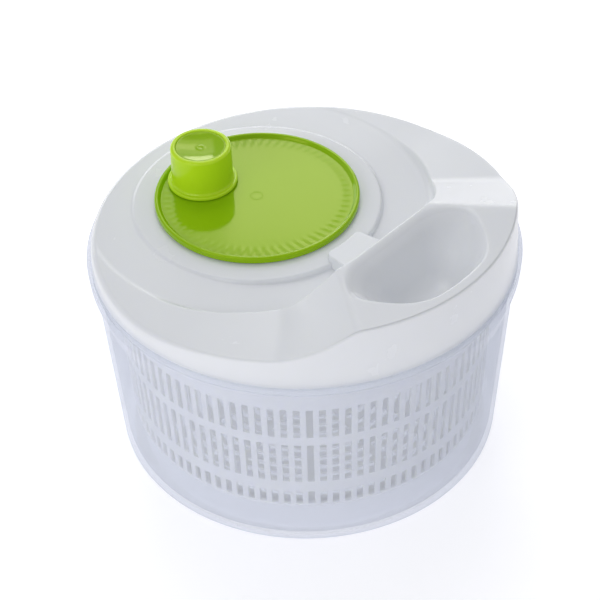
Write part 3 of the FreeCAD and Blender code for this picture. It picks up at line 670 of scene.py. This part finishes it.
def bevelled(piece, width, segments=4, angle=40.0):
    """Round a piece's crisp edges with a bevel, and apply it."""
    bevel = piece.modifiers.new("edges", "BEVEL")
    bevel.width = width * MM
    bevel.segments = segments
    bevel.limit_method = "ANGLE"
    bevel.angle_limit = math.radians(angle)
    bevel.harden_normals = True
    graph = bpy.context.evaluated_depsgraph_get()
    shaped = bpy.data.meshes.new_from_object(piece.evaluated_get(graph))
    piece.modifiers.clear()
    piece.data = shaped
    return piece


def build_tab():
    """Bridge between the collar and the grip; its end follows the crank disc."""
    c, s = math.cos(GRIP_TURN), math.sin(GRIP_TURN)
    tip = TAB_HALF - TAB_CORNER
    plan = [(RIDGE_X + 1.5, TAB_FLARE[1] + 0.4), TAB_FLARE, (TAB_WAIST_X, TAB_HALF + 0.3)]
    end_x = DISC_X * c + math.sqrt(TAB_END_R**2 - tip**2)
    for a in np.radians((0, 22, 45, 68, 90)):
        plan.append((end_x + TAB_CORNER * (1 - math.sin(a)), tip + TAB_CORNER * math.cos(a)))
    for y in np.linspace(tip, 0, 7)[1:]:
        plan.append((DISC_X * c + math.sqrt(TAB_END_R**2 - y * y), y))
    plan += [(x, -y) for x, y in reversed(plan[:-1])]
    turned = [(c * x - s * y, s * x + c * y) for x, y in plan]
    count = len(plan)
    vertices = [(x, y, TAB_FOOT) for x, y in turned] + [(x, y, TAB_TOP) for x, y in turned]
    faces = [tuple(range(count)), tuple(range(count, 2 * count))]
    faces += [(i, (i + 1) % count, count + (i + 1) % count, count + i) for i in range(count)]
    piece = bevelled(make_object("lid_tab", vertices, faces), TAB_EDGE)
    return place(piece, "lid", "lid_plastic", LID_WHITE)


RIB_R = (111.3, 113.1)
RIB_BOTTOM = 119.0
RIB_TOP = 133.6
SHAFT_BOSS = (5.5, 8.0)
WEBS = 24
STIFFENERS = 8
STIFFENER_H = 4.5
WEB_T = 1.6


def add_block(vertices, faces, x0, x1, half, z0, z1, angle, cx=0.0):
    """Add a radial web that runs from radius x0 to x1 about (cx, 0) at an angle."""
    c, s = math.cos(angle), math.sin(angle)
    base = len(vertices)
    for z in (z0, z1):
        for r, t in ((x0, -half), (x1, -half), (x1, half), (x0, half)):
            vertices.append((cx + r * c - t * s, r * s + t * c, z))
    quads = ((0, 1, 2, 3), (4, 5, 6, 7), (0, 1, 5, 4), (1, 2, 6, 5), (2, 3, 7, 6), (3, 0, 4, 7))
    faces += [tuple(base + i for i in quad) for quad in quads]


def build_lid_underside():
    """Locating rib, shaft boss and webs under the lid."""
    rib_in, rib_out = RIB_R
    rib = [(rib_in, RIB_BOTTOM, 0.5), (rib_out, RIB_BOTTOM, 0.5)]
    rib += [(rib_out, RIB_TOP, 0), (rib_in, RIB_TOP, 0)]
    place(lathe("lid_locating_rib", outline(rib), segments=192), "lid", "lid_plastic", LID_WHITE)
    low, high = BOSS_Z[0], WELL_FLOOR - 1.0
    boss_in, boss_out = SHAFT_BOSS
    boss = [(boss_in, low, 0.3), (boss_out, low, 0.4), (boss_out, high, 0), (boss_in, high, 0)]
    place(lathe("lid_shaft_boss", outline(boss), segments=64), "lid", "lid_plastic", LID_WHITE)
    vertices, faces = [], []
    for i in range(WEBS):
        angle = 2 * math.pi * (i + 0.5) / WEBS
        low, high = SKIRT_Z - 3, RIB_TOP - 0.5
        add_block(vertices, faces, rib_out - 0.5, SKIRT_R - 1.2, WEB_T / 2, low, high, angle)
    for i in range(STIFFENERS):
        angle = 2 * math.pi * (i + 0.5) / STIFFENERS
        top = WELL_FLOOR - LID_WALL + 0.5
        low = top - STIFFENER_H
        add_block(vertices, faces, BOSS_R - 1, WELL_R, WEB_T / 2, low, top, angle, DISC_X)
    place(make_object("lid_webs", vertices, faces), "lid", "lid_plastic", LID_WHITE)


# ---- crank disc ----
DISC_TOP = 138.6
DISC_UNDER = 136.5
DISC_EDGE_Z = 137.0
DISC_SPIGOT_R = 55.0
BEAD_IN = 53.8
BEAD_Z = 140.6
HUB_R = 7.0
HUB_HOLE_TOP = 132.0
POST_R = 5.0
POST_TOP = 152.0
POST_HOLE_FOOT = 141.0
TOOTH_MARKS = 66
MARK_R = (47.0, 53.0)
MARK_DEPTH = 0.05
RING_MARK_R = 3.4


def disc_relief(r, z, angles):
    """Shallow flutes near the disc's edge, where the gear teeth show through."""
    if z < DISC_TOP - 0.05 or not MARK_R[0] <= r <= MARK_R[1]:
        return 0.0
    across = (r - MARK_R[0]) / (MARK_R[1] - MARK_R[0])
    return MARK_DEPTH * math.sin(math.pi * across) ** 0.6 * np.cos(TOOTH_MARKS * angles)


def build_crank_disc():
    """Glossy green disc: raised bead, tooth flutes, small centre ring, and the hub below."""
    corners = [
        (0, HUB_HOLE_TOP, 0),
        (SCREW_HOLE_R, HUB_HOLE_TOP, 0),
        (SCREW_HOLE_R, BOSS_Z[0], 0.2),
        (HUB_R, BOSS_Z[0], 0.4),
        (HUB_R, DISC_UNDER, 0.3),
        (DISC_SPIGOT_R, DISC_UNDER, 0.2),
        (DISC_SPIGOT_R, DISC_EDGE_Z, 0),
        (DISC_R, DISC_EDGE_Z, 0.4),
        (DISC_R, BEAD_Z, 1.3),
        (BEAD_IN + 1.5, BEAD_Z, 0.9),
        (BEAD_IN, DISC_TOP, 0.6),
    ]
    points = outline(corners + [(RING_MARK_R, DISC_TOP, 0)], closed=False)[:-1]
    flute_rows = np.linspace(MARK_R[1], MARK_R[0], 9)
    points += [(r, DISC_TOP) for r in flute_rows]
    points += [(r, DISC_TOP) for r in (44.0, 36.0, 24.0, 12.0, 6.0, 4.4)]
    ring = ((0.5, 0.0), (0.25, 0.022), (0.0, 0.032), (-0.25, 0.022), (-0.5, 0.0), (-0.9, 0.0))
    points += [(RING_MARK_R + d, DISC_TOP + rise) for d, rise in ring]
    points += [(2.0, DISC_TOP), (0, DISC_TOP)]
    piece = lathe("crank_plate", points, DISC_X, 0, TOOTH_MARKS * 8, closed=False, relief=disc_relief)
    place(piece, "crank", "green_plastic", GREEN, "crank_disc")
    post = [
        (0, DISC_TOP - 0.5, 0),
        (POST_R, DISC_TOP - 0.5, 0),
        (POST_R, POST_TOP, 0.4),
        (SCREW_HOLE_R, POST_TOP, 0.2),
        (SCREW_HOLE_R, POST_HOLE_FOOT, 0),
        (0, POST_HOLE_FOOT, 0),
    ]
    piece = lathe("knob_post", outline(post, closed=False), KNOB_X, KNOB_Y, 48, closed=False)
    place(piece, "crank", "green_plastic", GREEN)


# ---- knob ----
KNOB_BASE_R = 17.6
KNOB_TOP_R = 17.0
SLEEVE = (5.3, 7.5)
WEB_Z = (149.5, 151.6)
DISH_DEPTH = 1.0


def build_knob():
    """Turning knob with a skirt flange, and its dished cap."""
    low, top = KNOB_LOW[2], KNOB_HIGH[2]
    seat = CAP_LOW[2]
    corners = [
        (KNOB_BASE_R - 2.0, low, 0.3),
        (KNOB_FLANGE_R, low, 0.5),
        (KNOB_FLANGE_R, low + 2.0, 0.8),
        (KNOB_BASE_R + 0.3, low + 2.0, 0.5),
        (KNOB_BASE_R - 0.3, low + 3.2, 0.8),
        (KNOB_TOP_R, top, 2.2),
        (CAP_R, top, 0.8),
        (CAP_R, seat, 0),
        (CAP_R - 1.5, seat, 0),
        (CAP_R - 1.5, WEB_Z[1], 0),
        (SLEEVE[0], WEB_Z[1], 0),
        (SLEEVE[0], low + 0.6, 0.2),
        (SLEEVE[1], low + 0.6, 0.2),
        (SLEEVE[1], WEB_Z[0], 0.5),
        (KNOB_BASE_R - 2.0, WEB_Z[0], 0.5),
    ]
    piece = lathe("knob_body", outline(corners), KNOB_X, KNOB_Y, 128)
    place(piece, "knob", "green_plastic", KNOB_GREEN, "knob")
    rim_z = CAP_HIGH[2]
    ball = (CAP_R**2 + DISH_DEPTH**2) / (2 * DISH_DEPTH)
    bottom = rim_z - DISH_DEPTH
    points = [(0, seat), (CAP_R, seat), (CAP_R, rim_z - 0.25), (CAP_R - 0.1, rim_z - 0.08)]
    radii = list(np.linspace(CAP_R - 0.35, 2.6, 14))
    points += [(r, bottom + ball - math.sqrt(ball**2 - r * r)) for r in radii]
    centre = bottom + 0.03
    mark = ((2.2, 0.10), (1.8, 0.13), (1.4, 0.08), (1.1, 0.0), (0, 0.0))
    points += [(r, centre + rise) for r, rise in mark]
    piece = lathe("knob_dish", points, KNOB_X, KNOB_Y, 96, closed=False)
    place(piece, "knob", "green_plastic", GREEN, "knob_cap")


# ---- CAD nodes that keep their shape ----
KEPT = {
    "basket": BASKET_WHITE,
    "basket_floor": BASKET_WHITE,
    "basket_hub": BASKET_WHITE,
    "drive_plate": BASKET_WHITE,
    "pivot_cap": GEAR_WHITE,
    "shaft_bush": GEAR_WHITE,
    "crank_bush": GEAR_WHITE,
    "pinion": GEAR_WHITE,
    "ring_gear": GEAR_WHITE,
    "thrust_washer": GEAR_WHITE,
    "drive_shaft": STEEL,
    "drive_washer": STEEL,
    "drive_screw": STEEL,
    "crank_washer": STEEL,
    "crank_screw": STEEL,
    "knob_washer": STEEL,
    "knob_screw": STEEL,
}


def finish_kept_nodes():
    """Give each CAD node that keeps its shape its material."""
    for node, material in KEPT.items():
        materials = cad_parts[node].data.materials
        materials.clear()
        materials.append(material)


# ---- stage, light and camera ----
FLOOR_HALF = 6000.0


def build_floor():
    """Pale floor with a little light of its own, for the photo's blown-out ground."""
    material = bpy.data.materials.new("pale_floor")
    material.use_nodes = True
    shader = material.node_tree.nodes["Principled BSDF"]
    shader.inputs["Base Color"].default_value = (0.93, 0.93, 0.95, 1)
    shader.inputs["Roughness"].default_value = 0.9
    shader.inputs["Specular IOR Level"].default_value = 0.1
    shader.inputs["Emission Color"].default_value = (1.0, 0.985, 1.0, 1)
    shader.inputs["Emission Strength"].default_value = 0.42
    half = FLOOR_HALF
    corners = [(-half, -half, 0), (half, -half, 0), (half, half, 0), (-half, half, 0)]
    floor = make_object("floor", corners, [(0, 1, 2, 3)])
    floor.data.materials.append(material)


def add_softbox(name, location, target, width, height, radiance):
    """Rectangular light aimed at a target; its power gives the wanted radiance over its face."""
    light = bpy.data.lights.new(name, "AREA")
    light.shape = "RECTANGLE"
    light.size = width
    light.size_y = height
    light.energy = radiance * math.pi * width * height
    holder = bpy.data.objects.new(name, light)
    bpy.context.scene.collection.objects.link(holder)
    aim = Vector(target) - Vector(location)
    holder.location = location
    holder.rotation_euler = aim.to_track_quat("-Z", "Y").to_euler()


# Name, location, height of the point aimed at, width and height (all in metres), and radiance.
SOFTBOXES = (
    ("key", (-0.72, 0.60, 1.9), 0.14, 1.1, 0.9, 2.0),
    ("back_wide", (-1.13, 1.13, 1.32), 0.14, 0.62, 0.52, 1.3),
    ("back", (-1.03, 1.03, 1.24), 0.14, 0.24, 0.18, 1.6),
    ("back_low", (-1.2, 1.05, 0.84), 0.14, 0.30, 0.20, 5.0),
    ("back_wall", (-1.9, 1.3, 0.5), 0.1, 3.2, 0.9, 1.7),
    ("front", (0.2, -1.9, 1.0), 0.08, 1.6, 0.9, 2.1),
)


def light_stage():
    """Even sky light and the softboxes."""
    world = bpy.data.worlds.new("studio")
    bpy.context.scene.world = world
    world.use_nodes = True
    background = world.node_tree.nodes["Background"]
    background.inputs["Color"].default_value = (0.95, 0.97, 1.0, 1)
    background.inputs["Strength"].default_value = 0.47
    for name, location, aim_z, width, height, radiance in SOFTBOXES:
        add_softbox(name, location, (0, 0, aim_z), width, height, radiance)


# The camera stands at CAMERA_AT (metres) and looks at (0, 0, LOOK_Z), then leans a little off that aim.
CAMERA_AT = (0.5716, -0.5716, 0.7866)
LOOK_Z = 0.080
FOCAL = 113.5
SENSOR_WIDTH = 36.0
ROLL = math.radians(-1.859)
LEAN_RIGHT = -0.00336
LEAN_UP = 0.00196


def add_camera():
    """Camera at the photo's own viewpoint."""
    camera = bpy.data.cameras.new("camera")
    camera.lens = FOCAL
    camera.sensor_width = SENSOR_WIDTH
    holder = bpy.data.objects.new("camera", camera)
    bpy.context.scene.collection.objects.link(holder)
    holder.location = CAMERA_AT
    aim = Vector((0, 0, LOOK_Z)) - Vector(CAMERA_AT)
    right = aim.cross(Vector((0, 0, 1))).normalized()
    up = right.cross(aim).normalized()
    aim += right * LEAN_RIGHT + up * LEAN_UP
    turn = aim.to_track_quat("-Z", "Y").to_matrix().to_4x4()
    roll = Matrix.Rotation(ROLL, 4, "Z")
    holder.rotation_euler = (turn @ roll).to_euler()
    bpy.context.scene.camera = holder


build_bowl()
build_lid()
build_tab()
build_lid_underside()
build_crank_disc()
build_knob()
finish_kept_nodes()
build_floor()
light_stage()
add_camera()
bpy.context.scene.view_settings.view_transform = "Standard"
